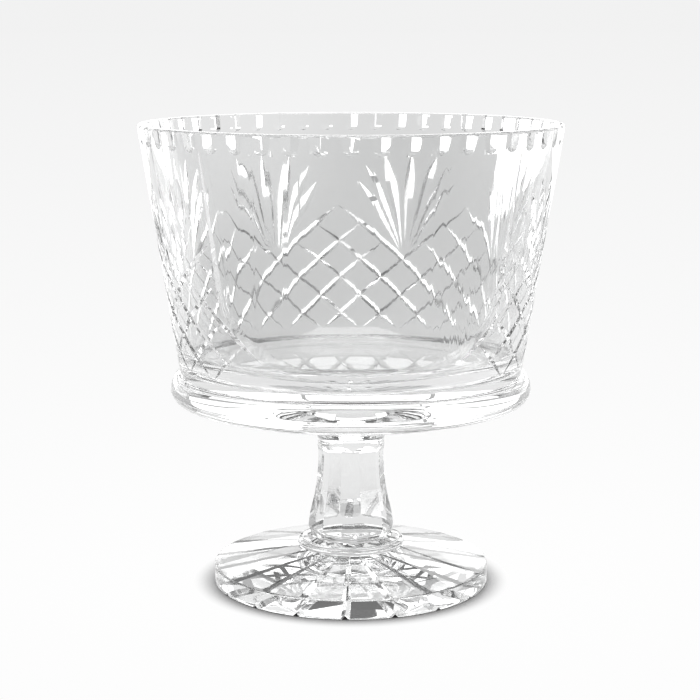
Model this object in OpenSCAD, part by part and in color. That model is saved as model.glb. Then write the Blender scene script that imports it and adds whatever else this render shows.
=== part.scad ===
// Footed trifle bowl in clear cut crystal.
// The bowl, two collars, the octagonal stem and the star foot are separate
// pieces of glass that seat on each other face to face.
// Z is up, the foot stands on z = 0, and the bare panel faces -Y.

/* [Bowl wall] */
// Outer diameter of the rim
rim_d = 200; // [180:1:230]
// Height of the rim above the table
rim_z = 222; // [215:1:240]
// Outer diameter where the wall meets the bolster
crease_d = 163.6; // [150:1:176]
// Height of that crease above the table
crease_z = 103.7; // [100:0.5:106]
// Wall thickness just below the rim
rim_wall = 4.3; // [3.6:0.1:6]
// Wall thickness at the level of the crease
foot_wall = 6.5; // [5:0.1:9]
// Radius of the fire polished rim
rim_round = 1.3; // [0.8:0.1:1.6]
// Height of the floor inside the bowl
floor_z = 106; // [102:0.5:110]
// Radius of the corner between wall and floor
floor_round = 16; // [8:1:24]

/* [Bolster] */
// Largest diameter of the ring under the wall
bolster_d = 172.8; // [168:0.4:182]
// Height of the widest line of that ring
bolster_z = 95.4; // [93:0.2:98]
// Height of the flat pad under the bowl, where the collar seats
pad_z = 80.5; // [78:0.5:82]
// Diameter of that pad
pad_d = 52; // [48:1:60]

/* [Rim notches] */
// Number of notches round the rim
notch_count = 48; // [24:8:56]
// Height of a notch below the rim
notch_h = 9.2; // [6:0.2:12]
// Depth of a notch at the rim
notch_deep = 1.35; // [0.8:0.05:1.6]
// Half of a notch's width for each millimetre of its depth
notch_flare = 2; // [1.4:0.1:2.4]

/* [Cut pattern] */
// Places for an arch round the bowl, one of them left bare
arch_count = 8; // [8:1:9]
// Cells from the peak of an arch to the dip between two arches
arch_cells = 3; // [2:1:4]
// Height of an arch's peak above the table
peak_z = 174; // [168:1:180]
// Drop of a crosshatch line over one cell
cell_drop = 9.3; // [7.5:0.1:9.5]
// Depth of a crosshatch cut
hatch_deep = 1.05; // [0.7:0.05:1.4]
// Half of a crosshatch cut's width for each millimetre of its depth
hatch_flare = 1.25; // [1:0.05:1.5]

/* [Fans] */
// Blades in one fan
blade_count = 7; // [5:2:9]
// Height of the middle blade's tip above the table
fan_top_z = 201; // [190:1:206]
// How much lower the outermost blades end
fan_drop = 15; // [8:1:20]
// Angle round the bowl from the fan's middle to its outermost tip
fan_half_angle = 16; // [12:0.5:19]
// Depth of a blade at its widest place
blade_deep = 1.3; // [0.8:0.05:1.6]
// Half of a blade's width for each millimetre of its depth
blade_flare = 1.75; // [1.2:0.05:1.9]

/* [Bare panel] */
// Angle round the bowl from the panel's middle to its edge
panel_half_angle = 41.5; // [36:0.5:43]
// Height where the panel's upright edges begin to round in
panel_turn_z = 157; // [150:1:162]
// Height of the lowest place of the panel's edge
panel_low_z = 116.3; // [114:0.5:122]
// How deep the panel is ground into the wall at that place
panel_deep = 1.7; // [1:0.1:2]
// Width of the bevel round the panel at its lowest place
panel_bevel = 2.9; // [2:0.1:3.4]

/* [Stem] */
// Distance across two flats at the stem's waist
waist_flats = 29.2; // [26:0.2:32]
// Distance across two flats near the stem's bottom
base_flats = 38.2; // [34:0.2:39]
// Diameter of the round top of the stem
neck_d = 32.4; // [30:0.2:34]
// Height of the joint between stem and upper collar
neck_z = 70.5; // [68:0.5:74]

/* [Collars] */
// Diameter of the upper collar where it meets the bowl
collar_d = 48; // [44:1:50]
// Diameter of the wider bead of the lower collar
bead_d = 52.4; // [50:0.4:56]
// Diameter of the narrower bead of the lower collar
small_bead_d = 47.6; // [45:0.4:49]
// Thickness of the lower collar
bead_h = 4.6; // [4:0.1:6]

/* [Foot] */
// Diameter of the foot over its corners
foot_d = 133.2; // [124:0.4:150]
// Thickness of the foot at its edge
foot_edge = 9.4; // [7:0.1:11]
// Height of the foot in the middle, where the lower collar seats
foot_z = 18; // [15:0.5:20]
// Rays cut into the foot
ray_count = 18; // [12:2:24]
// Turn of the rays about the axis, in degrees
ray_turn = -6; // [-10:0.5:10]
// Depth of a ray on the underside, at the edge
ray_deep = 2.6; // [1.5:0.1:3.2]
// Half of an underside ray's width for each millimetre of its depth
ray_flare = 1.3; // [0.8:0.1:1.5]
// Depth of a mitre line on the top
mitre_deep = 0.75; // [0.4:0.05:1]
// Half of a mitre line's width for each millimetre of its depth
mitre_flare = 1.7; // [1.2:0.1:2]

/* [Hidden] */
$fn = 96;
glass = [0.86, 0.89, 0.9, 0.45];

// Run of a cut past the surface, and lift of its tapered ends clear of it
proud = 0.7;
lift = 0.06;

rim_r = rim_d / 2;
crease_r = crease_d / 2;
bolster_r = bolster_d / 2;
pad_r = pad_d / 2;

// Outer radius of the wall at a height, and the lean of its surface
function wall_r(z) = crease_r + (rim_r - crease_r) * (z - crease_z) / (rim_z - crease_z);
wall_lean = atan((rim_r - crease_r) / (rim_z - crease_z));

// Point on the wall: angle round from the front, height, distance outwards along the normal
function on_wall(a, z, out) =
    let (r = wall_r(z) + out * cos(wall_lean))
    [r * sin(a), -r * cos(a), z - out * sin(wall_lean)];
function wall_normal(a) =
    [cos(wall_lean) * sin(a), -cos(wall_lean) * cos(a), -sin(wall_lean)];
function unit(v) = v / norm(v);

// Points along an arc of a profile, from one angle to another in n steps
function arc(cx, cy, rx, ry, from, to, n) =
    [for (i = [0:n]) let (t = from + (to - from) * i / n) [cx + rx * cos(t), cy + ry * sin(t)]];

// A vee cut that follows stations [point, outward normal, depth].
// Each station gives three corners: the bottom of the vee and its two sides above the surface.
function vee_corners(stations, flare) =
    let (n = len(stations))
    [for (i = [0:n - 1])
        let (p = stations[i][0], up = stations[i][1], deep = stations[i][2],
             along = stations[min(i + 1, n - 1)][0] - stations[max(i - 1, 0)][0],
             side = unit(cross(up, along)) * (deep + proud) * flare)
        each [p - up * deep, p + up * proud + side, p + up * proud - side]];
module vee_cut(stations, flare) {
    n = len(stations);
    last = 3 * (n - 1);
    faces = concat(
        [[0, 1, 2], [last, last + 2, last + 1]],
        [for (i = [0:n - 2], j = [0:2])
            let (a = 3 * i + j, b = 3 * i + (j + 1) % 3)
            each [[a, a + 3, b + 3], [a, b + 3, b]]]);
    polyhedron(points = vee_corners(stations, flare), faces = faces);
}

// Bowl blank, a turned body: the pad, the ring under the wall, the wall and the rounded inside
inner_lean = atan((rim_r - rim_wall - crease_r + foot_wall) / (rim_z - crease_z));
function inner_r(z) = crease_r - foot_wall
    + (rim_r - rim_wall - crease_r + foot_wall) * (z - crease_z) / (rim_z - crease_z);
// Centre of the corner arc, which touches the floor and the inner wall
corner_z = floor_z + floor_round;
corner_r = inner_r(corner_z) - floor_round / cos(inner_lean);

// The ring swells out of the crease and rolls in to the underside
swell = bolster_r - crease_r;
swell_from_angle = 15;
roll_r_share = [1, 0.985, 0.955, 0.91, 0.865, 0.79, 0.695, 0.56, 0.42];
roll_z_share = [0, 0.20, 0.345, 0.435, 0.495, 0.58, 0.67, 0.79, 0.90];

module bowl_blank() {
    rotate_extrude()
        polygon(concat(
            [[0, pad_z], [pad_r, pad_z]],
            [for (i = [len(roll_r_share) - 1:-1:0])
                [bolster_r * roll_r_share[i], bolster_z - (bolster_z - pad_z) * roll_z_share[i]]],
            arc(bolster_r - swell, bolster_z, swell, crease_z - bolster_z, swell_from_angle, 90, 5),
            arc(rim_r - rim_round, rim_z - rim_round, rim_round, rim_round, -wall_lean, 90, 6),
            arc(rim_r - rim_wall + rim_round, rim_z - rim_round, rim_round, rim_round,
                90, 180 - inner_lean, 6),
            arc(corner_r, corner_z, floor_round, floor_round, -inner_lean, -90, 8),
            [[0, floor_z]]));
}

// Rim notches: each runs off the rim and closes in a pointed arch below
notch_rise_share = [0, 0.2, 0.5, 1.15];
notch_deep_share = [-lift / notch_deep, 0.5, 0.85, 1];
module rim_notches() {
    for (k = [0:notch_count - 1])
        let (a = 360 * (k + 0.5) / notch_count)
        vee_cut([for (i = [0:len(notch_rise_share) - 1])
            [on_wall(a, rim_z - notch_h * (1 - notch_rise_share[i]), 0),
             wall_normal(a), notch_deep * notch_deep_share[i]]], notch_flare);
}

// Crosshatch, laid out in cells round the bowl and down it
pitch = 360 / arch_count;
cell_angle = pitch / (2 * arch_cells);
cell_rows = 2 * arch_cells + 1;

// Edge of the panel, and of its bevel where it meets the wall, as an angle from the panel's middle.
// Both close below like the rounded end of a shield.
bevel_angle = 2;
bevel_drop_share = 0.125;
bevel_half_angle = panel_half_angle + bevel_angle;
bevel_low_z = panel_low_z - panel_bevel;
bevel_turn_z = panel_turn_z - bevel_drop_share * (panel_turn_z - panel_low_z);
bevel_square = 2.3;
panel_square = 1.9;
function shield(z, half, turn_z, low_z, square) =
    z >= turn_z ? half
    : z <= low_z ? 0
    : half * pow(1 - pow((turn_z - z) / (turn_z - low_z), square), 1 / square);
function from_front(a) = abs(((a + 540) % 360) - 180);
low_row_z = peak_z - cell_rows * cell_drop;
// Under the panel's rounded end the wall stays smooth below the last full row of cells
function is_bare(a, z) =
    from_front(a) < (z < low_row_z + cell_drop + lift ? bevel_half_angle
        : shield(z, bevel_half_angle, bevel_turn_z, bevel_low_z, bevel_square));

// One crosshatch line, which drops a cell's height for each cell it goes round the bowl.
// It is cut only where the wall isn't bare, and tapers out at both ends.
cell_parts = 8;
least_step = 0.2;
module hatch_line(a, z) {
    cut_at = [for (i = [0:cell_parts * cell_rows])
        let (s = i / cell_parts)
        if (z - cell_drop * s > low_row_z - lift && !is_bare(a + cell_angle * s, z - cell_drop * s)) s];
    if (len(cut_at) > cell_parts / 2) {
        from = cut_at[0];
        to = cut_at[len(cut_at) - 1];
        steps = concat([from],
            [for (s = [1:cell_rows]) if (s > from + least_step && s < to - least_step) s], [to]);
        last = len(steps) - 1;
        vee_cut([for (i = [0:last])
            let (b = a + cell_angle * steps[i])
            [on_wall(b, z - cell_drop * steps[i], 0), wall_normal(b),
             i == 0 || i == last ? -lift : hatch_deep]], hatch_flare);
    }
}
module hatch() {
    for (k = [0:arch_count - 1], m = [0:arch_cells - 1])
        hatch_line(k * pitch - m * cell_angle, peak_z - m * cell_drop);
}

// Fans: between two arches, blades spread from one point and swell towards their tips
fan_stem_z = peak_z - arch_cells * cell_drop;
blade_run_share = [0.12, 0.38, 0.68, 0.86, 1];
blade_deep_share = [-lift / blade_deep, 0.42, 1, 0.68, -lift / blade_deep];
module fans() {
    half = (blade_count - 1) / 2;
    for (k = [1:arch_count - 2], j = [-half:half])
        let (a0 = (k + 0.5) * pitch, turn = fan_half_angle * sin(90 * j / half),
             tip_z = fan_top_z - fan_drop * pow(abs(j / half), 2))
        vee_cut([for (i = [0:len(blade_run_share) - 1])
            let (s = blade_run_share[i], a = a0 + turn * s, z = fan_stem_z + (tip_z - fan_stem_z) * s)
            [on_wall(a, z, 0), wall_normal(a), blade_deep * blade_deep_share[i]]], blade_flare);
}

// Bare panel: a shallow, smooth recess with a bevelled edge, which dies out at the notches
panel_end_z = rim_z - notch_h;
shield_steps = 16;
function shield_ring(half, turn_z, low_z, square, out, wide) =
    let (right = concat(
            [[half, rim_z + notch_h]],
            [for (i = [0:shield_steps])
                let (z = turn_z - (turn_z - low_z) * sin(90 * i / shield_steps))
                [shield(z, half, turn_z, low_z, square), z]]),
         n = len(right))
    [for (i = [0:2 * n - 2])
        let (q = i < n ? right[i] : right[2 * n - 2 - i], a = i < n ? q[0] : -q[0],
             p = on_wall(a, q[1], out))
        [p[0] * wide, p[1] * wide, p[2]]];
module panel_block() {
    reach = panel_deep + proud;
    grow = (panel_deep + 2 * proud) / panel_deep;
    inner = shield_ring(panel_half_angle, panel_turn_z, panel_low_z, panel_square, -reach, 1);
    outer = shield_ring(panel_half_angle + (bevel_half_angle - panel_half_angle) * grow,
        panel_turn_z - (panel_turn_z - bevel_turn_z) * grow,
        panel_low_z - panel_bevel * grow, bevel_square, 2 * proud, 1);
    far = shield_ring(panel_half_angle + (bevel_half_angle - panel_half_angle) * grow,
        panel_turn_z - (panel_turn_z - bevel_turn_z) * grow,
        panel_low_z - panel_bevel * grow, bevel_square, 2 * proud, 2);
    n = len(inner);
    polyhedron(points = concat(inner, outer, far), faces = concat(
        [for (i = [0:n - 2], j = [0:1]) let (a = n * j + i)
            each [[a, a + 1, a + n + 1], [a, a + n + 1, a + n]]],
        [for (i = [0:(n - 1) / 2 - 1]) let (a = i, b = n - 1 - i)
            each i < (n - 1) / 2 - 1
                ? [[a, b, b - 1], [a, b - 1, a + 1], [2 * n + a, 2 * n + b - 1, 2 * n + b],
                   [2 * n + a, 2 * n + a + 1, 2 * n + b - 1]]
                : [[a, b, a + 1], [2 * n + a, 2 * n + a + 1, 2 * n + b]]],
        [[0, n, 2 * n - 1], [0, 2 * n - 1, n - 1], [n, 2 * n, 3 * n - 1], [n, 3 * n - 1, 2 * n - 1]]));
}
module panel_recess() {
    intersection() {
        panel_block();
        rotate_extrude()
            polygon([
                [wall_r(panel_low_z) - panel_deep, panel_low_z],
                [wall_r(panel_low_z) - panel_deep
                    - (panel_low_z - crease_z) * (wall_r(panel_end_z) - wall_r(panel_low_z) + panel_deep)
                    / (panel_end_z - panel_low_z), crease_z],
                [wall_r(crease_z) + proud, crease_z],
                [wall_r(panel_end_z) + proud, panel_end_z],
                [wall_r(panel_end_z), panel_end_z]]);
    }
}

module bowl() {
    color(glass)
        difference() {
            bowl_blank();
            panel_recess();
            rim_notches();
            hatch();
            mirror([1, 0, 0]) hatch();
            fans();
        }
}

// Upper collar: a disc of glass that flares from the stem to the pad under the bowl
collar_r_share = [0, 0.05, 0.19, 0.34, 0.62, 0.86, 1];
collar_z_share = [0, 0.12, 0.30, 0.50, 0.72, 0.86, 0.97];
module upper_collar() {
    neck_r = neck_d / 2;
    color(glass)
        rotate_extrude()
            polygon(concat(
                [[0, neck_z]],
                [for (i = [0:len(collar_r_share) - 1])
                    [neck_r + (collar_d / 2 - neck_r) * collar_r_share[i],
                     neck_z + (pad_z - neck_z) * collar_z_share[i]]],
                [[collar_d / 2, pad_z], [0, pad_z]]));
}

// Stem: eight flats on a concave column, which fade out in arches below the round neck
stem_z = foot_z + bead_h;
stem_rise_share = [0, 0.045, 0.1, 0.19, 0.30, 0.42, 0.55, 0.68, 0.80, 0.88, 0.94, 1];
stem_swell_share = [0.80, 0.97, 1, 0.90, 0.66, 0.38, 0.18, 0.06, 0, 0.02, 0.20, 0.62];
// Round body that trims the eight corners: its toe, how high that rises, and where the neck ends
toe_r_share = 0.93;
toe_z_share = 0.1;
neck_end_share = 0.8;
module stem() {
    h = neck_z - stem_z;
    half = [for (i = [0:len(stem_rise_share) - 1])
        [(waist_flats + (base_flats - waist_flats) * stem_swell_share[i]) / 2,
         stem_z + h * stem_rise_share[i]]];
    round_base = base_flats / 2 / cos(22.5);
    color(glass)
        intersection() {
            intersection_for (k = [0:3])
                rotate([90, 0, 22.5 + 45 * k])
                    linear_extrude(height = 2 * base_flats, center = true)
                        polygon(concat(
                            half, [for (i = [len(half) - 1:-1:0]) [-half[i][0], half[i][1]]]));
            rotate_extrude()
                polygon([[0, stem_z], [round_base * toe_r_share, stem_z],
                    [round_base, stem_z + h * toe_z_share],
                    [neck_d / 2, stem_z + h * neck_end_share], [neck_d / 2, neck_z], [0, neck_z]]);
        }
}

// Lower collar: a wide bead with a narrower one on it, between the stem and the foot
bead_round_share = 0.28;
small_bead_round_share = 0.2;
collar_top_share = 1.06;
module lower_collar() {
    big = bead_h * bead_round_share;
    small = bead_h * small_bead_round_share;
    color(glass)
        rotate_extrude()
            polygon(concat(
                [[0, foot_z]],
                arc(bead_d / 2 - big, foot_z + big, big, big, -90, 75, 7),
                arc(small_bead_d / 2 - small, foot_z + 3 * small, small, small, -60, 75, 6),
                [[base_flats / 2 * collar_top_share, foot_z + bead_h], [0, foot_z + bead_h]]));
}

// Foot: flat sectors fall from the middle to a thick edge, with a mitre line between each two
// and a star of vee cuts on the underside
seat_r = bead_d / 2;
foot_r = foot_d / 2;
foot_chamfer = 0.8;
star_start_share = 0.55;
function ray_angle(k) = ray_turn + 360 * k / ray_count;
function ray_normal(r1, z1, r2, z2, a) =
    let (d = unit([r1 - r2, z2 - z1])) [d[1] * sin(a), -d[1] * cos(a), d[0]];
module foot_blank() {
    ring = [for (k = [0:ray_count - 1]) ray_angle(k)];
    n = ray_count;
    points = concat(
        [for (a = ring) [(foot_r - foot_chamfer) * sin(a), -(foot_r - foot_chamfer) * cos(a), 0]],
        [for (a = ring) [foot_r * sin(a), -foot_r * cos(a), foot_chamfer]],
        [for (a = ring) [foot_r * sin(a), -foot_r * cos(a), foot_edge]],
        [for (a = ring) [seat_r / cos(180 / n) * sin(a), -seat_r / cos(180 / n) * cos(a), foot_z]]);
    polyhedron(points = points, faces = concat(
        [[for (k = [0:n - 1]) k], [for (k = [n - 1:-1:0]) 3 * n + k]],
        [for (j = [0:2], k = [0:n - 1]) let (a = n * j + k, b = n * j + (k + 1) % n)
            [a, a + n, b + n, b]]));
}
module underside_star() {
    for (k = [0:ray_count - 1])
        let (a = ray_angle(k), start = seat_r * star_start_share, end = foot_r + proud)
        vee_cut([[[start * sin(a), -start * cos(a), 0], [0, 0, -1], -lift],
            [[end * sin(a), -end * cos(a), 0], [0, 0, -1], ray_deep]], ray_flare);
}
module mitre_lines() {
    start_r = seat_r / cos(180 / ray_count);
    slope = (foot_z - foot_edge) / (foot_r - start_r);
    for (k = [0:ray_count - 1])
        let (a = ray_angle(k), up = ray_normal(start_r, foot_z, foot_r, foot_edge, a),
             r1 = start_r + 2 * proud, r3 = foot_r + proud, r2 = (r1 + r3) / 2)
        vee_cut([for (s = [[r1, -lift], [r2, mitre_deep], [r3, mitre_deep]])
            [[s[0] * sin(a), -s[0] * cos(a), foot_z - slope * (s[0] - start_r)], up, s[1]]], mitre_flare);
}
module foot() {
    color(glass)
        difference() {
            foot_blank();
            underside_star();
            mitre_lines();
        }
}

bowl();
upper_collar();
stem();
lower_collar();
foot();
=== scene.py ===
"""Looks of a footed trifle bowl in clear cut crystal.

Each piece of glass starts as a smooth turned blank. Vees that follow drawings of the pattern cut the
bowl and the foot, and crossed slabs cut the stem's flats. Bonded pieces join without an optical seam.
"""
import math

import bmesh
import bpy
import numpy as np
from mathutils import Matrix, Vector


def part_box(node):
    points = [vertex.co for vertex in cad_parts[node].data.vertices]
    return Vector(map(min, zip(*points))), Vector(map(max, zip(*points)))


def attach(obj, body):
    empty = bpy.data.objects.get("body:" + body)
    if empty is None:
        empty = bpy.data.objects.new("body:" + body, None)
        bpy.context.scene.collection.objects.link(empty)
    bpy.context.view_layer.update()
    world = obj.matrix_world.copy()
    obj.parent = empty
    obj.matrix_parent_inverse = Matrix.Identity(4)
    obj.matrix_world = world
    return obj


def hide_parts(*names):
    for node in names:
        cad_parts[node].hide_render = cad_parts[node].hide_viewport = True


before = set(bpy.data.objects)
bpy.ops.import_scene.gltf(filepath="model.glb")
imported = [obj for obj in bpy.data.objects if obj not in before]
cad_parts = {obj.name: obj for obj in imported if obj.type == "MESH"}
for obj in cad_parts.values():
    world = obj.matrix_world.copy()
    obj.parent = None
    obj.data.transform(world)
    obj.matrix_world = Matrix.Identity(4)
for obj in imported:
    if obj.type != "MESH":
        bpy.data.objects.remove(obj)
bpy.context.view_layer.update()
mm = 0.001


def size_of(node):
    """Radius, lowest and highest place of a turned node of the frame."""
    low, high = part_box(node)
    return high.x, low.z, high.z


# Driving sizes, from the frame where its boxes give them
rim_r, pad_z, rim_z = size_of("bowl")
collar_r, neck_z, _ = size_of("upper_collar")
bead_r, foot_z, stem_z = size_of("lower_collar")
foot_r = size_of("foot")[0]
crease_r, crease_z = 81.8 * mm, 103.7 * mm
rim_wall, foot_wall, rim_round = 4.3 * mm, 6.5 * mm, 1.3 * mm
floor_z, floor_round = 106 * mm, 16 * mm
bolster_r, bolster_z, pad_r = 86.4 * mm, 95.4 * mm, 26 * mm
neck_r, waist_flats, base_flats, stem_sides = 16.2 * mm, 29.2 * mm, 38.2 * mm, 8
small_bead_r = 23.8 * mm
foot_edge, foot_edge_round = 9.4 * mm, 0.8 * mm
hollow_h, hollow_lip = 5 * mm, 4 * mm
hollow_r = foot_r - hollow_lip
wall_slope = (rim_r - crease_r) / (rim_z - crease_z)
inner_slope = (rim_r - rim_wall - crease_r + foot_wall) / (rim_z - crease_z)

# Faces round a turned piece, and how far one piece reaches into the next where they join
turns = 384
lift = 0.06 * mm

# The cut pattern: arches of crosshatch, fans between them, notches round the rim and a star in the foot.
# A flare is the half width of a vee over its depth, and a reach is its cutter's height from the tip.
arch_count, arch_cells, peak_z, cell_drop = 8, 3, 174 * mm, 9.3 * mm
hatch_deep, hatch_flare, hatch_reach = 1.05 * mm, 1.25, 2.2 * mm
blade_count, fan_top_z, fan_drop, fan_half_angle = 7, 201 * mm, 15 * mm, math.radians(16)
blade_deep, blade_flare, blade_reach = 1.3 * mm, 1.75, 2.4 * mm
notch_count, notch_h, notch_deep, notch_flare, notch_reach = 48, 9.2 * mm, 1.05 * mm, 3.2, 2.4 * mm
panel_half_angle, bevel_angle = math.radians(41.5), math.radians(3.2)
panel_turn_z, panel_low_z, panel_deep, panel_bevel = 157 * mm, 116.3 * mm, 1.7 * mm, 2.9 * mm
ray_count, ray_turn, ray_deep, ray_flare, ray_reach = 18, math.radians(-6), 2.0 * mm, 1.0, 5 * mm


# Camera, fitted to the ellipses of the rim, the ring, the collar and the foot

def make_camera():
    away, height, tilt, turn = 871.73 * mm, 269.31 * mm, 0.1771, math.radians(-3.75)
    focal_px, frame_px, axis_px, sensor_mm = 1842.14, 700, 350.883, 36
    data = bpy.data.cameras.new("camera")
    data.sensor_width = sensor_mm
    data.lens = focal_px * sensor_mm / frame_px
    aside = (frame_px / 2 - axis_px) * away / focal_px
    camera = bpy.data.objects.new("camera", data)
    camera.location = (away * math.sin(turn) + aside * math.cos(turn),
                       -away * math.cos(turn) + aside * math.sin(turn), height)
    camera.rotation_euler = (math.pi / 2 - tilt, 0, turn)
    bpy.context.scene.collection.objects.link(camera)
    bpy.context.scene.camera = camera


make_camera()


# Outlines and blanks

def arc(cx, cy, rx, ry, start, end, steps):
    """Points of an ellipse from one angle to another, in degrees."""
    angles = np.radians(np.linspace(start, end, steps + 1))
    return [(cx + rx * math.cos(a), cy + ry * math.sin(a)) for a in angles]


def smooth_line(points, steps):
    """A smooth curve through the points, with that many steps between two of them."""
    p = [2 * np.array(points[0]) - points[1], *map(np.array, points), 2 * np.array(points[-1]) - points[-2]]
    out = []
    for a, b, c, d in zip(p, p[1:], p[2:], p[3:]):
        for s in np.arange(steps) / steps:
            out.append(b + (c - a) * s / 2 + (a - 2.5 * b + 2 * c - d / 2) * s ** 2
                       + (1.5 * (b - c) + (d - a) / 2) * s ** 3)
    return [tuple(q) for q in out + [p[-2]]]


def add_object(name, verts, edges, faces):
    mesh = bpy.data.meshes.new(name)
    mesh.from_pydata(verts, edges, faces)
    obj = bpy.data.objects.new(name, mesh)
    bpy.context.scene.collection.objects.link(obj)
    return obj


def turned(name, profile):
    """Closed mesh of a profile turned about Z, whose first and last points lie on the axis."""
    rings, count = profile[1:-1], len(profile) - 2
    angles = 2 * np.pi * np.arange(turns) / turns
    verts = [(0, 0, profile[0][1])]
    for r, z in rings:
        verts += [(r * math.sin(a), -r * math.cos(a), z) for a in angles]
    verts.append((0, 0, profile[-1][1]))
    top = 1 + (count - 1) * turns
    faces = []
    for j in range(turns):
        k = (j + 1) % turns
        faces += [(0, 1 + k, 1 + j), (top + j, top + k, len(verts) - 1)]
        for start in range(1, top, turns):
            faces.append((start + j, start + k, start + turns + k, start + turns + j))
    return add_object(name, verts, [], faces)


def bowl_profile():
    """From the pad out over the ring, up the wall, over the rim and down to the floor inside."""
    corner_z, edge_z = floor_z + floor_round, rim_z - rim_round
    lean, inner_lean = math.atan(wall_slope), math.atan(inner_slope)
    corner_r = (crease_r - foot_wall + inner_slope * (corner_z - crease_z)
                - floor_round / math.cos(inner_lean))
    swell, swell_start = bolster_r - crease_r, 9
    roll_r_share = [0.42, 0.56, 0.695, 0.79, 0.865, 0.91, 0.955, 0.985, 1]
    roll_z_share = [0.90, 0.79, 0.67, 0.58, 0.495, 0.435, 0.345, 0.20, 0]
    roll = [(bolster_r * r, bolster_z - (bolster_z - pad_z) * z) for r, z in zip(roll_r_share, roll_z_share)]
    return ([(0, pad_z)] + smooth_line([(pad_r, pad_z), *roll], steps=5)
            + arc(bolster_r - swell, bolster_z, swell, crease_z - bolster_z, swell_start, 90, steps=14)
            + arc(rim_r - rim_round, edge_z, rim_round, rim_round, -math.degrees(lean), 90, steps=10)
            + arc(rim_r - rim_wall + rim_round, edge_z, rim_round, rim_round,
                  90, 180 - math.degrees(inner_lean), steps=10)
            + arc(corner_r, corner_z, floor_round, floor_round, -math.degrees(inner_lean), -90, steps=20)
            + [(0, floor_z)])


def upper_collar_profile():
    """A flare from the neck of the stem out to the bowl's pad."""
    r_share = [0, 0.02, 0.09, 0.19, 0.34, 0.62, 0.86, 0.97, 1]
    z_share = [0, 0.06, 0.20, 0.32, 0.50, 0.72, 0.86, 0.94, 0.98]
    flare = [(neck_r + (collar_r - neck_r) * r, neck_z + (pad_z - neck_z) * z)
             for r, z in zip(r_share, z_share)]
    return [(0, neck_z)] + smooth_line(flare, steps=4) + [(collar_r, pad_z + lift), (0, pad_z + lift)]


def lower_collar_profile():
    """A wide bead with a narrower one on it, up to the stem's seat."""
    bead_h, seat_share = stem_z - foot_z, 1.06
    big, small = bead_h * 0.28, bead_h * 0.2
    return ([(0, foot_z - lift)] + [(bead_r - big, foot_z - lift)]
            + arc(bead_r - big, foot_z + big, big, big, -90, 75, steps=14)
            + arc(small_bead_r - small, foot_z + 3 * small, small, small, -60, 80, steps=12)
            + [(base_flats / 2 * seat_share, stem_z), (0, stem_z)])


def stem_envelope():
    """Round body with room for the whole stem, which the slabs cut down to its flats."""
    h, base_r = neck_z - stem_z, base_flats / 2 / math.cos(math.pi / stem_sides)
    seat_share, widest_share, neck_share = 0.93, 0.1, 0.8
    seat_r = base_r * seat_share
    return [(0, stem_z - lift), (seat_r, stem_z - lift), (seat_r, stem_z),
            (base_r, stem_z + h * widest_share), (neck_r, stem_z + h * neck_share),
            (neck_r, neck_z + lift), (0, neck_z + lift)]


def hollow_line():
    """Profile of the hollow under the foot, from the axis out to its rim."""
    run_share, rise_share = [0, 0.3, 0.65, 1], [1, 0.93, 0.5, 0]
    return smooth_line([(hollow_r * r, hollow_h * z) for r, z in zip(run_share, rise_share)], steps=8)


def foot_profile():
    """From the hollow underneath out over the rounded edge and up the plain top to the collar."""
    e, top_start = foot_edge_round, 78
    return (hollow_line() + arc(foot_r - e, e, e, e, -90, 0, steps=6)
            + arc(foot_r - e, foot_edge - e, e, e, 0, top_start, steps=6)
            + [(bead_r, foot_z), (0, foot_z)])


def stem_slab():
    """Outline of the two opposite flats of the stem, as a thick plate that stands across it."""
    h = neck_z - stem_z
    rise_share = [-0.02, 0.045, 0.1, 0.19, 0.30, 0.42, 0.55, 0.68, 0.80, 0.88, 0.94, 1.02]
    swell_share = [0.75, 0.97, 1, 0.90, 0.66, 0.38, 0.18, 0.06, 0, 0.02, 0.20, 0.70]
    side = smooth_line([((waist_flats + (base_flats - waist_flats) * s) / 2, stem_z + h * r)
                        for r, s in zip(rise_share, swell_share)], steps=6)
    outline = side + [(-x, z) for x, z in reversed(side)]
    n = len(outline)
    verts = [(x, y, z) for y in (-base_flats, base_flats) for x, z in outline]
    faces = [tuple(range(n)), tuple(range(2 * n - 1, n - 1, -1))]
    faces += [(i, n + i, n + (i + 1) % n, (i + 1) % n) for i in range(n)]
    return add_object("stem_slab", verts, [], faces)


# Drawings of the cuts. A point is (angle round from the front, height, minus the depth).

def shield(z, half, turn_z, low_z, square):
    """Half width of the panel at a height, as an angle."""
    if z >= turn_z:
        return half
    if z <= low_z:
        return 0.0
    return half * (1 - ((turn_z - z) / (turn_z - low_z)) ** square) ** (1 / square)


bevel_half = panel_half_angle + bevel_angle
bevel_low_z = panel_low_z - panel_bevel
bevel_turn_share = 0.125
bevel_turn_z = panel_turn_z - bevel_turn_share * (panel_turn_z - panel_low_z)
bevel_square, panel_square = 2.3, 1.9
pitch = 2 * math.pi / arch_count
cell_angle = pitch / (2 * arch_cells)
cell_rows = 2 * arch_cells + 1
low_row_z = peak_z - cell_rows * cell_drop


def is_bare(a, z):
    """Whether a place on the wall belongs to the panel or the smooth wall under it."""
    from_front = abs((a + 3 * math.pi) % (2 * math.pi) - math.pi)
    if z < low_row_z + cell_drop + lift:
        return from_front < bevel_half
    return from_front < shield(z, bevel_half, bevel_turn_z, bevel_low_z, bevel_square)


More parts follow.
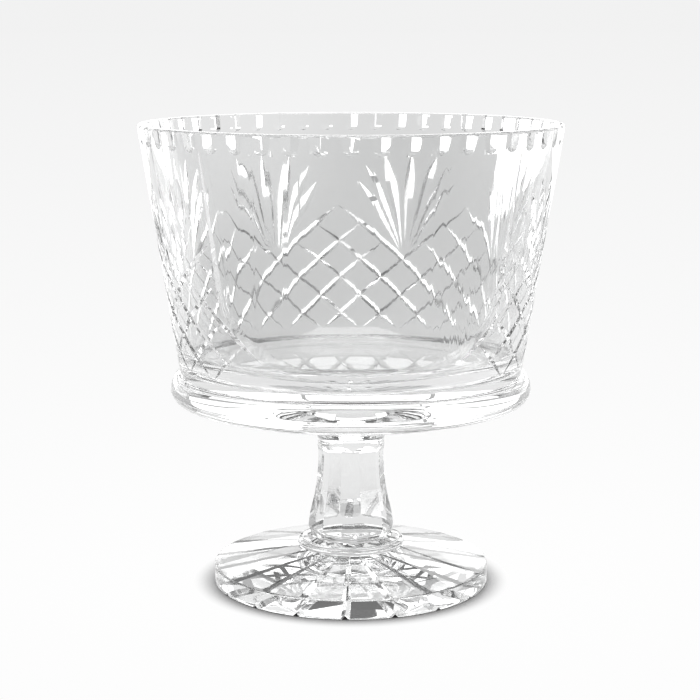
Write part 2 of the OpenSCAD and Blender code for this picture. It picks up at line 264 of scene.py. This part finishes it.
def hatch_lines(sign):
    """Crosshatch lines that fall to one side, cut only where the wall isn't bare.

    Tries for bare wall and points of a line are counted in a cell's height. Very short lines are dropped.
    """
    tries, points, fewest = 8, 4, 5
    lines = []
    for k in range(arch_count):
        for m in range(arch_cells):
            a, z = k * pitch - m * cell_angle, peak_z - m * cell_drop
            shares = [s / tries for s in range(tries * cell_rows + 1)]
            cut = [s for s in shares if z - cell_drop * s > low_row_z - lift
                   and not is_bare(a + cell_angle * s, z - cell_drop * s)]
            if len(cut) < fewest:
                continue
            line = []
            for s in np.linspace(cut[0], cut[-1], int((cut[-1] - cut[0]) * points) + 1):
                end = min(s - cut[0], cut[-1] - s)
                deep = min(hatch_deep, end * (hatch_deep + lift) - lift)
                line.append((sign * (a + cell_angle * s), z - cell_drop * s, -deep))
            lines.append(line)
    return lines


def fan_lines():
    """The blades of the first fan, which spread from one point and swell towards their tips."""
    half, root_z, middle = (blade_count - 1) // 2, peak_z - arch_cells * cell_drop, 1.5 * pitch
    run_share, deep_share = [0.12, 0.38, 0.68, 0.86, 1], [-0.05, 0.42, 1, 0.68, -0.05]
    shape = smooth_line(list(zip(run_share, deep_share)), steps=5)
    lines = []
    for j in range(-half, half + 1):
        turn = fan_half_angle * math.sin(math.pi / 2 * j / half)
        tip_z = fan_top_z - fan_drop * (j / half) ** 2
        lines.append([(middle + turn * s, root_z + (tip_z - root_z) * s, -blade_deep * d) for s, d in shape])
    return lines


def notch_line():
    """The first notch, which runs up the wall and out over the rim."""
    rise_share, deep_share = [0, 0.1, 0.35, 1.15], [-0.05, 0.6, 0.9, 1]
    shape = smooth_line(list(zip(rise_share, deep_share)), steps=4)
    return [[(math.pi / notch_count, rim_z - notch_h * (1 - s), -notch_deep * d) for s, d in shape]]


def ray_line():
    """One ray of the star in the hollow, as points in space that run out from the axis."""
    run_share, deep_share = [0.12, 0.4, 0.86, 1.01], [-0.05, 0.55, 1, 0.9]
    runs, rises = zip(*hollow_line())
    shape = smooth_line(list(zip(run_share, deep_share)), steps=8)
    return [[(0, -foot_r * s, np.interp(foot_r * s, runs, rises) + ray_deep * d) for s, d in shape]]


def drawing(name, lines):
    """Lines as an object whose mesh has only edges."""
    verts, edges = [], []
    for line in lines:
        n = len(verts)
        verts += line
        edges += [(n + i, n + i + 1) for i in range(len(line) - 1)]
    return add_object(name, verts, edges, [])


def panel_block():
    """Body that grinds the bare panel out of the wall, with its bevelled edge."""
    lean = math.atan(wall_slope)
    end_z, steps, proud, spread = rim_z - notch_h, 40, 0.7 * mm, 1.6

    def ring(half, turn_z, low_z, square, out, wide):
        zs = [rim_z + notch_h] + [turn_z - (turn_z - low_z) * math.sin(math.pi / 2 * i / steps)
                                  for i in range(steps + 1)]
        side = [(shield(z, half, turn_z, low_z, square) if z <= turn_z else half, z) for z in zs]
        points = []
        for a, z in side + [(-a, z) for a, z in reversed(side[:-1])]:
            r = crease_r + (z - crease_z) * wall_slope + out * math.cos(lean)
            points.append((wide * r * math.sin(a), -wide * r * math.cos(a), z - out * math.sin(lean)))
        return points

    grow = (panel_deep + 2 * proud) / panel_deep
    outer = (panel_half_angle + bevel_angle * grow, panel_turn_z - (panel_turn_z - bevel_turn_z) * grow,
             panel_low_z - panel_bevel * grow, bevel_square, 2 * proud)
    rings = [ring(panel_half_angle, panel_turn_z, panel_low_z, panel_square, -panel_deep - proud, 1),
             ring(*outer, 1), ring(*outer, spread)]
    n = len(rings[0])
    faces = [tuple(reversed(range(n))), tuple(range(2 * n, 3 * n))]
    faces += [(n * j + i, n * j + (i + 1) % n, n * (j + 1) + (i + 1) % n, n * (j + 1) + i)
              for j in (0, 1) for i in range(n)]
    block = add_object("panel_block", [p for r in rings for p in r], [], faces)
    low_r = crease_r + (panel_low_z - crease_z) * wall_slope - panel_deep
    end_r = crease_r + (end_z - crease_z) * wall_slope
    foot_of_slope = low_r - (panel_low_z - crease_z) * (end_r - low_r) / (end_z - panel_low_z)
    return block, [(foot_of_slope, crease_z), (end_r, end_z), (end_r + proud, end_z),
                   (crease_r + proud, crease_z)]


def ring_body(name, outline):
    """Closed ring of an outline turned about Z."""
    n = len(outline)
    angles = 2 * np.pi * np.arange(turns) / turns
    verts = [(r * math.sin(a), -r * math.cos(a), z) for a in angles for r, z in outline]
    faces = [(j * n + i, ((j + 1) % turns) * n + i, ((j + 1) % turns) * n + (i + 1) % n, j * n + (i + 1) % n)
             for j in range(turns) for i in range(n)]
    return add_object(name, verts, [], faces)


# Node trees

def node(tree, kind, links=(), **settings):
    """A new node whose inputs are values or other nodes' outputs."""
    made = tree.nodes.new(kind)
    for name, value in settings.items():
        setattr(made, name, value)
    for key, source in dict(links).items():
        if isinstance(source, bpy.types.NodeSocket):
            tree.links.new(source, made.inputs[key])
        else:
            made.inputs[key].default_value = source
    return made


def sum_of(tree, operation, *values):
    """Result of a Math node."""
    return node(tree, "ShaderNodeMath", dict(enumerate(values)), operation=operation).outputs[0]


MIX_SOCKETS = {"FLOAT": (2, 3, 0), "RGBA": (6, 7, 2)}


def mix_of(tree, kind, factor, first, second):
    """Result of a Mix node, whose sockets share their names and so are found by place."""
    a, b, result = MIX_SOCKETS[kind]
    return node(tree, "ShaderNodeMix", {0: factor, a: first, b: second}, data_type=kind).outputs[result]


def new_tree(name, kind, inputs, outputs):
    """A node group with named inputs and outputs, its input sockets and its output node."""
    tree = bpy.data.node_groups.new(name, kind)
    for label, socket, value in inputs:
        made = tree.interface.new_socket(name=label, in_out="INPUT", socket_type=socket)
        if value is not None:
            made.default_value = value
    for label, socket in outputs:
        tree.interface.new_socket(name=label, in_out="OUTPUT", socket_type=socket)
    return tree, tree.nodes.new("NodeGroupInput").outputs, tree.nodes.new("NodeGroupOutput").inputs


GEOMETRY, OBJECT, FLOAT, INT = "NodeSocketGeometry", "NodeSocketObject", "NodeSocketFloat", "NodeSocketInt"
WALL = [("Crease Radius", FLOAT, crease_r), ("Crease Height", FLOAT, crease_z),
        ("Wall Slope", FLOAT, wall_slope)]


def shape_of(tree, obj):
    """Geometry of an object that a tree is given."""
    return node(tree, "GeometryNodeObjectInfo", {"Object": obj}).outputs["Geometry"]


def curve_of(tree, obj):
    """Curves of an object that is a drawing."""
    return node(tree, "GeometryNodeMeshToCurve", {"Mesh": shape_of(tree, obj)}).outputs["Curve"]


def repeated(tree, geometry, count, offset, **placed):
    """Real copies of a geometry, each moved by one more offset."""
    places = node(tree, "GeometryNodeMeshLine", {"Count": count, "Offset": offset}, mode="OFFSET")
    copies = node(tree, "GeometryNodeInstanceOnPoints",
                  {"Points": places.outputs["Mesh"], "Instance": geometry, **placed})
    return node(tree, "GeometryNodeRealizeInstances", {"Geometry": copies.outputs["Instances"]}).outputs[0]


def sweep_tree():
    """Sweeps a vee along curves whose normals point out of the glass."""
    tree, given, out = new_tree("Vee Sweep", "GeometryNodeTree",
                                [("Curves", GEOMETRY, None), ("Flare", FLOAT, 1.0), ("Reach", FLOAT, 2 * mm)],
                                [("Cutters", GEOMETRY)])
    half = sum_of(tree, "MULTIPLY", given["Reach"], given["Flare"])
    other = sum_of(tree, "MULTIPLY", half, -1.0)
    corners = [node(tree, "ShaderNodeCombineXYZ", {"X": given["Reach"], "Y": y}).outputs[0]
               for y in (other, 0.0, half)]
    vee = node(tree, "GeometryNodeCurvePrimitiveQuadrilateral",
               {"Point 2": corners[0], "Point 3": corners[1], "Point 4": corners[2], "Point 1": (0, 0, 0)},
               mode="POINTS").outputs[0]
    swept = node(tree, "GeometryNodeCurveToMesh",
                 {"Curve": given["Curves"], "Profile Curve": vee, "Fill Caps": True}).outputs[0]
    tree.links.new(separate(tree, swept), out[0])
    return tree


def separate(tree, geometry):
    """Each closed body of a mesh as an operand of its own for a boolean."""
    island = tree.nodes.new("GeometryNodeInputMeshIsland").outputs["Island Index"]
    return node(tree, "GeometryNodeSplitToInstances", {"Geometry": geometry, "Group ID": island},
                domain="FACE").outputs["Instances"]


def wall_cut_tree(sweep):
    """Wraps a flat drawing on the bowl's wall, repeats it round the bowl and gives the vee cutters."""
    tree, given, out = new_tree("Wall Cuts", "GeometryNodeTree",
                                [("Drawing", OBJECT, None), ("Copies", INT, 1), ("Pitch", FLOAT, 0.0),
                                 ("Flare", FLOAT, 1.0), ("Reach", FLOAT, 2 * mm), *WALL],
                                [("Cutters", GEOMETRY)])
    step = node(tree, "ShaderNodeCombineXYZ", {"X": given["Pitch"]}).outputs[0]
    lines = repeated(tree, curve_of(tree, given["Drawing"]), given["Copies"], step)
    position = tree.nodes.new("GeometryNodeInputPosition").outputs[0]
    at = node(tree, "ShaderNodeSeparateXYZ", {0: position}).outputs
    lean = sum_of(tree, "ARCTANGENT", given["Wall Slope"])
    flat, dip = sum_of(tree, "COSINE", lean), sum_of(tree, "SINE", lean)
    sine, cosine = sum_of(tree, "SINE", at["X"]), sum_of(tree, "COSINE", at["X"])
    back = sum_of(tree, "MULTIPLY", cosine, -1.0)
    normal = node(tree, "ShaderNodeCombineXYZ", {
        "X": sum_of(tree, "MULTIPLY", sine, flat), "Y": sum_of(tree, "MULTIPLY", back, flat),
        "Z": sum_of(tree, "MULTIPLY", dip, -1.0)}).outputs[0]
    rise = sum_of(tree, "SUBTRACT", at["Y"], given["Crease Height"])
    radius = sum_of(tree, "MULTIPLY_ADD", rise, given["Wall Slope"], given["Crease Radius"])
    on_wall = node(tree, "ShaderNodeCombineXYZ", {
        "X": sum_of(tree, "MULTIPLY", radius, sine), "Y": sum_of(tree, "MULTIPLY", radius, back),
        "Z": at["Y"]}).outputs[0]
    sunk = node(tree, "ShaderNodeVectorMath", {0: normal, "Scale": at["Z"]}, operation="SCALE").outputs[0]
    place = node(tree, "ShaderNodeVectorMath", {0: on_wall, 1: sunk}, operation="ADD").outputs[0]
    kept = node(tree, "GeometryNodeCaptureAttribute", {"Geometry": lines})
    kept.capture_items.new("VECTOR", "Normal")
    tree.links.new(normal, kept.inputs["Normal"])
    wrapped = node(tree, "GeometryNodeSetPosition",
                   {"Geometry": kept.outputs["Geometry"], "Position": place}).outputs[0]
    facing = node(tree, "GeometryNodeSetCurveNormal",
                  {"Curve": wrapped, "Normal": kept.outputs["Normal"]}, mode="FREE").outputs[0]
    swept = node(tree, "GeometryNodeGroup",
                 {"Curves": facing, "Flare": given["Flare"], "Reach": given["Reach"]}, node_tree=sweep)
    tree.links.new(swept.outputs[0], out[0])
    return tree


def bowl_tree(wall_cuts):
    """The bowl: its blank, less the panel, the notches, the crosshatch and the fans."""
    families = [("Notches", notch_count, 2 * math.pi / notch_count, notch_flare, notch_reach),
                ("Right Hatch", 1, 0.0, hatch_flare, hatch_reach),
                ("Left Hatch", 1, 0.0, hatch_flare, hatch_reach),
                ("Fans", arch_count - 2, pitch, blade_flare, blade_reach)]
    tree, given, out = new_tree(
        "Cut Bowl", "GeometryNodeTree",
        [("Blank", GEOMETRY, None), *WALL, ("Panel Block", OBJECT, None), ("Panel Floor", OBJECT, None),
         *[(label, OBJECT, None) for label, *_ in families]], [("Bowl", GEOMETRY)])
    recess = boolean(tree, "INTERSECT", *[shape_of(tree, given[p]) for p in ("Panel Block", "Panel Floor")])
    body = boolean(tree, "DIFFERENCE", given["Blank"], recess)
    wall = {label: given[label] for label, *_ in WALL}
    for label, copies, step, flare, reach in families:
        cuts = node(tree, "GeometryNodeGroup",
                    {"Drawing": given[label], "Copies": copies, "Pitch": step, "Flare": flare,
                     "Reach": reach, **wall}, node_tree=wall_cuts)
        body = boolean(tree, "DIFFERENCE", body, cuts.outputs[0])
    tree.links.new(finished(tree, body), out[0])
    return tree


def boolean(tree, operation, first, *others):
    """The first body less the others, or all of them joined, or what they have in common."""
    made = node(tree, "GeometryNodeMeshBoolean", operation=operation, solver="MANIFOLD")
    tree.links.new(first, made.inputs["Mesh 1" if operation == "DIFFERENCE" else "Mesh 2"])
    for other in others:
        tree.links.new(other, made.inputs["Mesh 2"])
    return made.outputs["Mesh"]


def finished(tree, geometry):
    """The last nodes of a tree: real geometry in the crystal."""
    real = node(tree, "GeometryNodeRealizeInstances", {"Geometry": geometry}).outputs[0]
    return node(tree, "GeometryNodeSetMaterial", {"Geometry": real, "Material": crystal}).outputs[0]


def round_the_axis(tree, geometry, count, step):
    """Real copies of a geometry, turned about Z by even steps."""
    index = tree.nodes.new("GeometryNodeInputIndex").outputs[0]
    turn = node(tree, "ShaderNodeCombineXYZ", {"Z": sum_of(tree, "MULTIPLY", index, step)}).outputs[0]
    return repeated(tree, geometry, count, (0, 0, 0), Rotation=turn)


def foot_tree(sweep):
    """The foot: its blank, less a star of vees that follow the drawing of one ray."""
    tree, given, out = new_tree("Star Foot", "GeometryNodeTree",
                                [("Blank", GEOMETRY, None), ("Ray", OBJECT, None), ("Rays", INT, ray_count),
                                 ("Ray Turn", FLOAT, ray_turn), ("Ray Flare", FLOAT, ray_flare),
                                 ("Reach", FLOAT, ray_reach)],
                                [("Foot", GEOMETRY)])
    step = sum_of(tree, "DIVIDE", 2 * math.pi, given["Rays"])
    lines = round_the_axis(tree, curve_of(tree, given["Ray"]), given["Rays"], step)
    aimed = node(tree, "ShaderNodeCombineXYZ", {"Z": given["Ray Turn"]}).outputs[0]
    lines = node(tree, "GeometryNodeTransform", {"Geometry": lines, "Rotation": aimed}).outputs[0]
    facing = node(tree, "GeometryNodeSetCurveNormal", {"Curve": lines, "Normal": (0, 0, -1)},
                  mode="FREE").outputs[0]
    star = node(tree, "GeometryNodeGroup",
                {"Curves": facing, "Flare": given["Ray Flare"], "Reach": given["Reach"]}, node_tree=sweep)
    tree.links.new(finished(tree, boolean(tree, "DIFFERENCE", given["Blank"], star.outputs[0])), out[0])
    return tree


def stem_tree():
    """The stem: a turned body that four crossed slabs cut down to eight flats."""
    tree, given, out = new_tree("Eight Sided Stem", "GeometryNodeTree",
                                [("Body", GEOMETRY, None), ("Slab", OBJECT, None),
                                 ("Slabs", INT, stem_sides // 2)],
                                [("Stem", GEOMETRY)])
    step = sum_of(tree, "DIVIDE", math.pi, given["Slabs"])
    first = node(tree, "ShaderNodeCombineXYZ", {"Z": sum_of(tree, "DIVIDE", step, 2.0)}).outputs[0]
    slabs = round_the_axis(tree, shape_of(tree, given["Slab"]), given["Slabs"], step)
    slabs = node(tree, "GeometryNodeTransform", {"Geometry": slabs, "Rotation": first}).outputs[0]
    flats = boolean(tree, "INTERSECT", given["Body"], separate(tree, slabs))
    tree.links.new(finished(tree, flats), out[0])
    return tree


def joined_tree():
    """All the glass as one body, which is then parted at the joints."""
    parts = ["Upper Collar", "Stem", "Lower Collar", "Foot"]
    tree, given, out = new_tree("Joined Glass", "GeometryNodeTree",
                                [("Bowl", GEOMETRY, None), *[(p, OBJECT, None) for p in parts]],
                                [("Glass", GEOMETRY)])
    others = [shape_of(tree, given[p]) for p in parts]
    tree.links.new(finished(tree, boolean(tree, "UNION", given["Bowl"], *others)), out[0])
    return tree


def grown(obj, tree, inputs):
    """Replaces an object's mesh by what a tree makes of it."""
    modifier = obj.modifiers.new(tree.name, "NODES")
    modifier.node_group = tree
    sockets = {s.name: s.identifier for s in tree.interface.items_tree if s.in_out == "INPUT"}
    for label, value in inputs.items():
        modifier[sockets[label]] = value
    bpy.context.view_layer.update()
    mesh = bpy.data.meshes.new_from_object(obj.evaluated_get(bpy.context.evaluated_depsgraph_get()))
    obj.modifiers.remove(modifier)
    obj.data = mesh
    return obj


# Materials

def surface_group():
    """Hand polished glass: a slow ripple, a fine haze and a smoky tint in clouds, from Object coordinates."""
    ripple_scale, haze_scale, cloud_scale = 45.0, 900.0, 9.0
    cloud_low, cloud_high = 0.35, 0.65
    smoky, clear = (0.79, 0.793, 0.793, 1), (0.89, 0.893, 0.893, 1)
    tree, given, out = new_tree("Polished Glass", "ShaderNodeTree",
                                [("Ripple", FLOAT, 0.02), ("Haze", FLOAT, 0.01)],
                                [("Roughness", FLOAT), ("Normal", "NodeSocketVector"),
                                 ("Tint", "NodeSocketColor")])
    place = tree.nodes.new("ShaderNodeTexCoord").outputs["Object"]

    def noise(scale, detail, **rough):
        return node(tree, "ShaderNodeTexNoise",
                    {"Vector": place, "Scale": scale, "Detail": detail, **rough}).outputs["Fac"]

    bump = node(tree, "ShaderNodeBump", {"Strength": given["Ripple"], "Distance": 1 * mm,
                                         "Height": noise(ripple_scale, 1.0, Roughness=0.4)})
    fine = noise(haze_scale, 2.0, Roughness=0.5)
    tree.links.new(sum_of(tree, "MULTIPLY", fine, given["Haze"]), out["Roughness"])
    tree.links.new(bump.outputs[0], out["Normal"])
    smoke = node(tree, "ShaderNodeMapRange",
                 {"Value": noise(cloud_scale, 0.0), "From Min": cloud_low, "From Max": cloud_high},
                 interpolation_type="SMOOTHSTEP").outputs[0]
    tree.links.new(mix_of(tree, "RGBA", smoke, smoky, clear), out["Tint"])
    return tree


def new_material(name, settings):
    """A material, its node tree and its Principled shader with some inputs set."""
    material = bpy.data.materials.new(name)
    material.use_nodes = True
    shader = material.node_tree.nodes["Principled BSDF"]
    for key, value in settings.items():
        shader.inputs[key].default_value = value
    return material, material.node_tree, shader


def crystal_material(name, surface, ripple, haze, shade=1.0):
    """Clear crystal. A shade below 1 darkens its tint, which paints shade into the glass."""
    material, tree, shader = new_material(name, {"Transmission Weight": 1.0, "IOR": 1.52})
    finish = node(tree, "ShaderNodeGroup", {"Ripple": ripple, "Haze": haze}, node_tree=surface).outputs
    tint = finish["Tint"]
    # Painted shade: the tint is mixed towards black by the shade
    if shade < 1:
        tint = mix_of(tree, "RGBA", shade, (0, 0, 0, 1), tint)
    sources = {"Roughness": finish["Roughness"], "Normal": finish["Normal"], "Base Color": tint}
    for key, source in sources.items():
        tree.links.new(source, shader.inputs[key])
    return material


surface = surface_group()
crystal = crystal_material("polished_crystal", surface, ripple=0.02, haze=0.01)
cut_crystal = crystal_material("cut_crystal", surface, ripple=0.05, haze=0.08)

# Painted shade: glass with a darkened tint paints the dark lines in which the thick collar and the foot's
# cuts show the shade under the foot
collar_painted_shade_crystal = crystal_material("collar_painted_shade_crystal", surface, ripple=0.02, haze=0.01, shade=0.5)
star_painted_shade_crystal = crystal_material("star_painted_shade_crystal", surface, ripple=0.05, haze=0.08, shade=0.05)

# Bonded joint between two pieces: the glass goes on through it
joint = new_material("bonded_joint", {"Alpha": 0.0, "Base Color": (0.93, 0.94, 0.94, 1)})[0]


# The pieces

# Places of the materials on a piece
SMOOTH, CUTS, JOINT = 0, 1, 2


def make_glass():
    """All five pieces as one body of glass."""
    sweep = sweep_tree()
    wall_cuts = wall_cut_tree(sweep)
    block, floor_outline = panel_block()
    tools = {"Panel Block": block, "Panel Floor": ring_body("panel_floor", floor_outline),
             "Notches": drawing("notch_drawing", notch_line()),
             "Right Hatch": drawing("right_hatch_drawing", hatch_lines(1)),
             "Left Hatch": drawing("left_hatch_drawing", hatch_lines(-1)),
             "Fans": drawing("fan_drawing", fan_lines())}
    bowl = grown(turned("bowl_blank", bowl_profile()), bowl_tree(wall_cuts), tools)
    slab, ray = stem_slab(), drawing("ray_drawing", ray_line())
    parts = {"Upper Collar": turned("collar_blank", upper_collar_profile()),
             "Stem": grown(turned("stem_blank", stem_envelope()), stem_tree(), {"Slab": slab}),
             "Lower Collar": turned("lower_collar_blank", lower_collar_profile()),
             "Foot": grown(turned("foot_blank", foot_profile()), foot_tree(sweep), {"Ray": ray})}
    glass = grown(bowl, joined_tree(), parts)
    for tool in [*tools.values(), slab, ray, *parts.values()]:
        bpy.data.objects.remove(tool)
    return glass


def part_between(glass, name, low, high):
    """The piece of the glass between two heights, closed at the joints by flat faces."""
    weld = 1e-7
    bm = bmesh.new()
    bm.from_mesh(glass.data)
    for face in bm.faces:
        face.material_index = SMOOTH
    for z, side in ((low, -1), (high, 1)):
        if z is None:
            continue
        cut = bmesh.ops.bisect_plane(bm, geom=bm.verts[:] + bm.edges[:] + bm.faces[:], dist=weld,
                                     plane_co=(0, 0, z), plane_no=(0, 0, side), clear_outer=True)
        rim = [e for e in cut["geom_cut"] if isinstance(e, bmesh.types.BMEdge)]
        filled = bmesh.ops.contextual_create(bm, geom=rim)["faces"]
        for face in filled:
            face.material_index = JOINT
            if face.normal.z * side < 0:
                face.normal_flip()
    mesh = bpy.data.meshes.new(name)
    bm.to_mesh(mesh)
    bm.free()
    obj = bpy.data.objects.new(name, mesh)
    bpy.context.scene.collection.objects.link(obj)
    return obj


# Limits that tell a turned face, and how alike two faces must point to share a normal
on_axis, most_across, most_wide = 1e-6, 0.011, 1.2 * math.pi / turns
nearly_level, same_turned, same_cut = 0.9999, 0.9, 0.94


def is_turned(mesh, face):
    """Whether a face lies on a turned surface: square to the axis, and no wider than a step round it."""
    n, c = face.normal, face.center
    r = math.hypot(c.x, c.y)
    if r <= on_axis:
        return True
    places = [mesh.vertices[v].co for v in face.vertices]
    across = (-n.x * c.y + n.y * c.x) / r
    wide = max(abs(p.y * c.x - p.x * c.y) / r for p in places)
    return abs(across) < most_across and wide < most_wide * max(p.xy.length for p in places)


def polish(obj, smooth, cuts):
    """Marks the cut faces and sets the normals: exact round the axis on turned faces, smooth along cuts."""
    mesh = obj.data
    for material in (smooth, cuts, joint):
        mesh.materials.append(material)
    faces = mesh.polygons
    turned_face = [is_turned(mesh, face) for face in faces]
    around = [[] for _ in mesh.vertices]
    for face in faces:
        if face.material_index != JOINT:
            face.material_index = SMOOTH if turned_face[face.index] else CUTS
        for v in face.vertices:
            around[v].append(face.index)
    normals = []
    for face in faces:
        own, own_turned = face.normal, turned_face[face.index]
        for v in face.vertices:
            place = mesh.vertices[v].co
            r = math.hypot(place.x, place.y)
            beside = [faces[other] for other in around[v] if turned_face[other] == own_turned]
            total = Vector((0, 0, 0))
            if own_turned and r > on_axis and abs(own.z) < nearly_level:
                out = Vector((place.x / r, place.y / r, 0))
                for f in beside:
                    if f.normal.dot(own) > same_turned:
                        flat = math.hypot(f.normal.x, f.normal.y)
                        outward = 1 if f.normal.x * f.center.x + f.normal.y * f.center.y > 0 else -1
                        total += (out * (flat * outward) + Vector((0, 0, f.normal.z))) * f.area
            else:
                for f in beside:
                    if f.normal.dot(own) > same_cut:
                        total += f.normal * f.area
            normals.append(total.normalized() if total.length > 0 else own)
    mesh.normals_split_custom_set(normals)


glass = make_glass()
seam = 0.02 * mm
heights = {"bowl": (pad_z - seam, None), "upper_collar": (neck_z, pad_z - seam),
           "stem": (stem_z + seam, neck_z), "lower_collar": (foot_z + seam, stem_z + seam),
           "foot": (None, foot_z + seam)}
# The lower collar's smooth faces and the foot's cuts take the crystals with painted shade
finishes_and_painted_shade = {"lower_collar": (collar_painted_shade_crystal, cut_crystal), "foot": (crystal, star_painted_shade_crystal)}
for name, (low, high) in heights.items():
    piece = part_between(glass, "crystal_" + name, low, high)
    polish(piece, *finishes_and_painted_shade.get(name, (crystal, cut_crystal)))
    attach(piece, "root")
    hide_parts(name)
bpy.data.objects.remove(glass)


# Studio

backdrop, plain_light = 0.885, 0.4
floor_near, floor_far = foot_r - 2 * mm, foot_r + 11 * mm
band_grey, room_grey = 0.55, 0.15
band_top, room_low = math.sin(math.radians(10)), math.sin(math.radians(30))


def seen_rays(tree):
    """Light Path's camera rays, and its rays inside and off glass."""
    rays = tree.nodes.new("ShaderNodeLightPath").outputs
    return rays["Is Camera Ray"], sum_of(tree, "MAXIMUM", rays["Is Glossy Ray"], rays["Is Transmission Ray"])


def make_floor():
    """White floor that takes the shadow near the bowl and fades to the backdrop's grey far away."""
    low, wide = -0.2 * mm, 40
    corners = [(-wide, -wide, low), (wide, -wide, low), (wide, wide, low), (-wide, wide, low)]
    floor = add_object("floor", corners, [], [(0, 1, 2, 3)])
    material, tree, shader = new_material("floor", {"Base Color": (0.93, 0.93, 0.93, 1), "Roughness": 0.5,
                                                    "Specular IOR Level": 0.1})
    place = tree.nodes.new("ShaderNodeTexCoord").outputs["Object"]
    away = node(tree, "ShaderNodeVectorMath", {0: place}, operation="LENGTH").outputs["Value"]
    far = node(tree, "ShaderNodeMapRange", {"Value": away, "From Min": floor_near, "From Max": floor_far},
               interpolation_type="SMOOTHSTEP").outputs[0]
    fade = sum_of(tree, "DIVIDE", 1 - backdrop, sum_of(tree, "ADD", away, 1.0))
    glow = node(tree, "ShaderNodeEmission", {"Strength": sum_of(tree, "ADD", fade, backdrop)}).outputs[0]
    camera_ray, glass_ray = seen_rays(tree)
    glowing = sum_of(tree, "MAXIMUM", sum_of(tree, "MULTIPLY", camera_ray, far), glass_ray)
    mix = node(tree, "ShaderNodeMixShader", {0: glowing, 1: shader.outputs[0], 2: glow})
    tree.links.new(mix.outputs[0], tree.nodes["Material Output"].inputs["Surface"])
    floor.data.materials.append(material)


def make_world():
    """Pale backdrop for the camera. Glass shows a band above the horizon, and a darker room above it."""
    world = bpy.data.worlds.new("studio")
    bpy.context.scene.world = world
    world.use_nodes = True
    tree = world.node_tree
    direction = tree.nodes.new("ShaderNodeTexCoord").outputs["Generated"]
    rise = node(tree, "ShaderNodeSeparateXYZ", {0: direction}).outputs["Z"]
    shown = node(tree, "ShaderNodeMapRange", {"Value": rise, "From Min": band_top, "From Max": room_low,
                                              "To Min": band_grey, "To Max": room_grey},
                 interpolation_type="SMOOTHSTEP").outputs[0]
    camera_ray, glass_ray = seen_rays(tree)
    strength = mix_of(tree, "FLOAT", glass_ray, plain_light, shown)
    strength = mix_of(tree, "FLOAT", camera_ray, strength, backdrop)
    tree.links.new(strength, tree.nodes["Background"].inputs["Strength"])
    tree.nodes["Background"].inputs["Color"].default_value = (1, 1, 1, 1)


def softbox(name, place, aim_z, width, height, bright):
    """Lamp that faces a height on the axis. Glass and surfaces see it, and the camera doesn't."""
    data = bpy.data.lights.new(name, "AREA")
    data.shape, data.size, data.size_y = "RECTANGLE", width, height
    data.energy = bright * math.pi * width * height
    lamp = bpy.data.objects.new(name, data)
    lamp.visible_camera = False
    lamp.location = place
    lamp.rotation_euler = (Vector((0, 0, aim_z)) - Vector(place)).to_track_quat("-Z", "Y").to_euler()
    bpy.context.scene.collection.objects.link(lamp)


make_floor()
make_world()

# Strips behind the bowl on both sides, in two columns, which the cuts turn to white lines
strip_away, strip_rows = 1.4, (0.14, 0.46, 0.78)
strip_columns = ((math.radians(23), 2.2), (math.radians(43), 1.5))
for side in (-1, 1):
    for turn, bright in strip_columns:
        x, y = side * strip_away * math.sin(turn), strip_away * math.cos(turn)
        for z in strip_rows:
            softbox("strip", (x, y, z), aim_z=z, width=0.5, height=0.28, bright=bright)
softbox("back_card", (0, 2.5, 0.4), aim_z=0.4, width=1.1, height=0.4, bright=1.6)
softbox("back_strip", (0, 1.8, 0.75), aim_z=0.15, width=0.8, height=0.3, bright=1.8)
softbox("high_softbox", (0, 1.0, 1.3), aim_z=0.12, width=1.0, height=0.6, bright=1.2)
softbox("top_softbox", (0, -0.1, 1.4), aim_z=0.1, width=0.8, height=0.8, bright=4.5)

# Cut glass needs long light paths
paths = bpy.context.scene.cycles
paths.max_bounces, paths.glossy_bounces, paths.transmission_bounces = 32, 24, 32
paths.caustics_reflective = paths.caustics_refractive = False
bpy.context.scene.view_settings.view_transform = "Standard"
